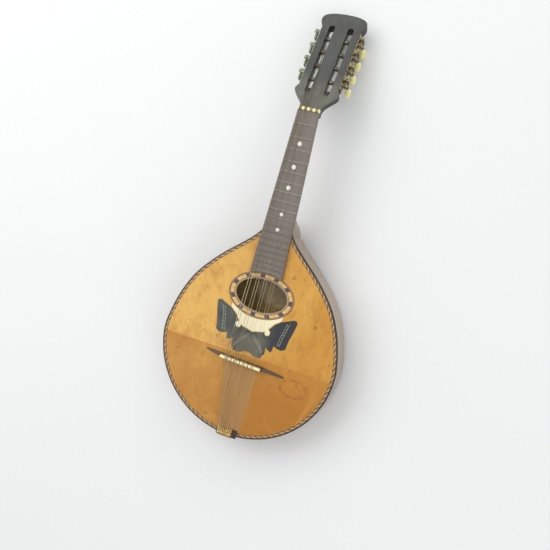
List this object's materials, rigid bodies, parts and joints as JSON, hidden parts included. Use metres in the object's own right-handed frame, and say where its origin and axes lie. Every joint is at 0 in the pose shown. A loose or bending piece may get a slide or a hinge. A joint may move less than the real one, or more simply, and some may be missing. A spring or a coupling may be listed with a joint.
{
  "type": "mandolin",
  "caption": "Flat-backed mandolin with a canted oval-hole top, paired strings, a slotted tilted head with worm-geared tuners, a floating bridge and a butterfly pickguard.",
  "frame": {"origin": "on the outer face of the back, under the middle of the body", "axes": "+Y runs along the strings towards the head, +Z points out of the soundboard, +X is the side of the light strings"},
  "size_m": [0.254, 0.6223, 0.0995],
  "materials": {
    "spruce_top": "amber gloss varnish",
    "dark_hardwood": "brown gloss varnish",
    "inner_wood": "bare",
    "black_edge": "satin",
    "black_lacquer": "gloss lacquer",
    "ebonised_wood": "worn satin",
    "bone": "aged satin bone",
    "cream_inlay": "gloss",
    "black_inlay": "gloss",
    "gilt_brass": "worn gilt",
    "aged_brass": "aged",
    "wound_string": "tarnished",
    "plain_string": "tarnished",
    "ivory_plastic": "translucent, polished"
  },
  "bodies": {
    "instrument": {"soundboard": "spruce_top", "edge_binding": "black_edge", "rib_bass": "dark_hardwood", "rib_treble": "dark_hardwood", "back": "dark_hardwood", "neck_block": "inner_wood", "tail_block": "inner_wood", "top_brace_1": "inner_wood", "top_brace_2": "inner_wood", "top_brace_3": "inner_wood", "back_brace_1": "inner_wood", "back_brace_2": "inner_wood", "back_brace_3": "inner_wood", "rosette": "cream_inlay", "pickguard_wings": "black_inlay", "pickguard_body": "cream_inlay", "neck": "dark_hardwood", "head_veneer": "black_lacquer", "fingerboard": "ebonised_wood", "nut": "bone", "bridge": "ebonised_wood", "bridge_saddle": "bone", "tail_saddle": "black_edge", "tailpiece": "gilt_brass", "end_button": "black_edge", "string_g1": "wound_string", "string_g2": "wound_string", "string_d1": "wound_string", "string_d2": "wound_string", "string_a1": "plain_string", "string_a2": "plain_string", "string_e1": "plain_string", "string_e2": "plain_string", "tuner_plate_bass": "aged_brass", "tuner_plate_treble": "aged_brass"},
    "tuner_g1": {"worm_g1": "aged_brass", "button_g1": "ivory_plastic"},
    "tuner_g2": {"worm_g2": "aged_brass", "button_g2": "ivory_plastic"},
    "tuner_d1": {"worm_d1": "aged_brass", "button_d1": "ivory_plastic"},
    "tuner_d2": {"worm_d2": "aged_brass", "button_d2": "ivory_plastic"},
    "tuner_a1": {"worm_a1": "aged_brass", "button_a1": "ivory_plastic"},
    "tuner_a2": {"worm_a2": "aged_brass", "button_a2": "ivory_plastic"},
    "tuner_e1": {"worm_e1": "aged_brass", "button_e1": "ivory_plastic"},
    "tuner_e2": {"worm_e2": "aged_brass", "button_e2": "ivory_plastic"},
    "post_g1": {"roller_g1": "aged_brass"},
    "post_g2": {"roller_g2": "aged_brass"},
    "post_d1": {"roller_d1": "aged_brass"},
    "post_d2": {"roller_d2": "aged_brass"},
    "post_a1": {"roller_a1": "aged_brass"},
    "post_a2": {"roller_a2": "aged_brass"},
    "post_e1": {"roller_e1": "aged_brass"},
    "post_e2": {"roller_e2": "aged_brass"}
  },
  "joints": [
    {"name": "tuner_g1_turn", "type": "hinge", "parent": "instrument", "child": "tuner_g1", "pos_m": [-0.0326, 0.36673, 0.02403], "axis": [0, 0.3986, 0.9171], "continuous": true},
    {"name": "tuner_g2_turn", "type": "hinge", "parent": "instrument", "child": "tuner_g2", "pos_m": [-0.0326, 0.38801, 0.01478], "axis": [0, 0.3986, 0.9171], "continuous": true},
    {"name": "tuner_d1_turn", "type": "hinge", "parent": "instrument", "child": "tuner_d1", "pos_m": [-0.0326, 0.40928, 0.00553], "axis": [0, 0.3986, 0.9171], "continuous": true},
    {"name": "tuner_d2_turn", "type": "hinge", "parent": "instrument", "child": "tuner_d2", "pos_m": [-0.0326, 0.43056, -0.00372], "axis": [0, 0.3986, 0.9171], "continuous": true},
    {"name": "tuner_a1_turn", "type": "hinge", "parent": "instrument", "child": "tuner_a1", "pos_m": [0.0326, 0.43056, -0.00372], "axis": [0, 0.3986, 0.9171], "continuous": true},
    {"name": "tuner_a2_turn", "type": "hinge", "parent": "instrument", "child": "tuner_a2", "pos_m": [0.0326, 0.40928, 0.00553], "axis": [0, 0.3986, 0.9171], "continuous": true},
    {"name": "tuner_e1_turn", "type": "hinge", "parent": "instrument", "child": "tuner_e1", "pos_m": [0.0326, 0.38801, 0.01478], "axis": [0, 0.3986, 0.9171], "continuous": true},
    {"name": "tuner_e2_turn", "type": "hinge", "parent": "instrument", "child": "tuner_e2", "pos_m": [0.0326, 0.36673, 0.02403], "axis": [0, 0.3986, 0.9171], "continuous": true},
    {"name": "post_g1_turn", "type": "hinge", "parent": "instrument", "child": "post_g1", "pos_m": [-0.0326, 0.35985, 0.02702], "axis": [1, 0, 0], "continuous": true},
    {"name": "post_g2_turn", "type": "hinge", "parent": "instrument", "child": "post_g2", "pos_m": [-0.0326, 0.38113, 0.01777], "axis": [1, 0, 0], "continuous": true},
    {"name": "post_d1_turn", "type": "hinge", "parent": "instrument", "child": "post_d1", "pos_m": [-0.0326, 0.40241, 0.00852], "axis": [1, 0, 0], "continuous": true},
    {"name": "post_d2_turn", "type": "hinge", "parent": "instrument", "child": "post_d2", "pos_m": [-0.0326, 0.42368, -0.00073], "axis": [1, 0, 0], "continuous": true},
    {"name": "post_a1_turn", "type": "hinge", "parent": "instrument", "child": "post_a1", "pos_m": [0.0326, 0.42368, -0.00073], "axis": [1, 0, 0], "continuous": true},
    {"name": "post_a2_turn", "type": "hinge", "parent": "instrument", "child": "post_a2", "pos_m": [0.0326, 0.40241, 0.00852], "axis": [1, 0, 0], "continuous": true},
    {"name": "post_e1_turn", "type": "hinge", "parent": "instrument", "child": "post_e1", "pos_m": [0.0326, 0.38113, 0.01777], "axis": [1, 0, 0], "continuous": true},
    {"name": "post_e2_turn", "type": "hinge", "parent": "instrument", "child": "post_e2", "pos_m": [0.0326, 0.35985, 0.02702], "axis": [1, 0, 0], "continuous": true}
  ],
  "couplings": [
    {"joint": "post_g1_turn", "follows": "tuner_g1_turn", "ratio": -0.071429},
    {"joint": "post_g2_turn", "follows": "tuner_g2_turn", "ratio": -0.071429},
    {"joint": "post_d1_turn", "follows": "tuner_d1_turn", "ratio": -0.071429},
    {"joint": "post_d2_turn", "follows": "tuner_d2_turn", "ratio": -0.071429},
    {"joint": "post_a1_turn", "follows": "tuner_a1_turn", "ratio": -0.071429},
    {"joint": "post_a2_turn", "follows": "tuner_a2_turn", "ratio": -0.071429},
    {"joint": "post_e1_turn", "follows": "tuner_e1_turn", "ratio": -0.071429},
    {"joint": "post_e2_turn", "follows": "tuner_e2_turn", "ratio": -0.071429}
  ]
}
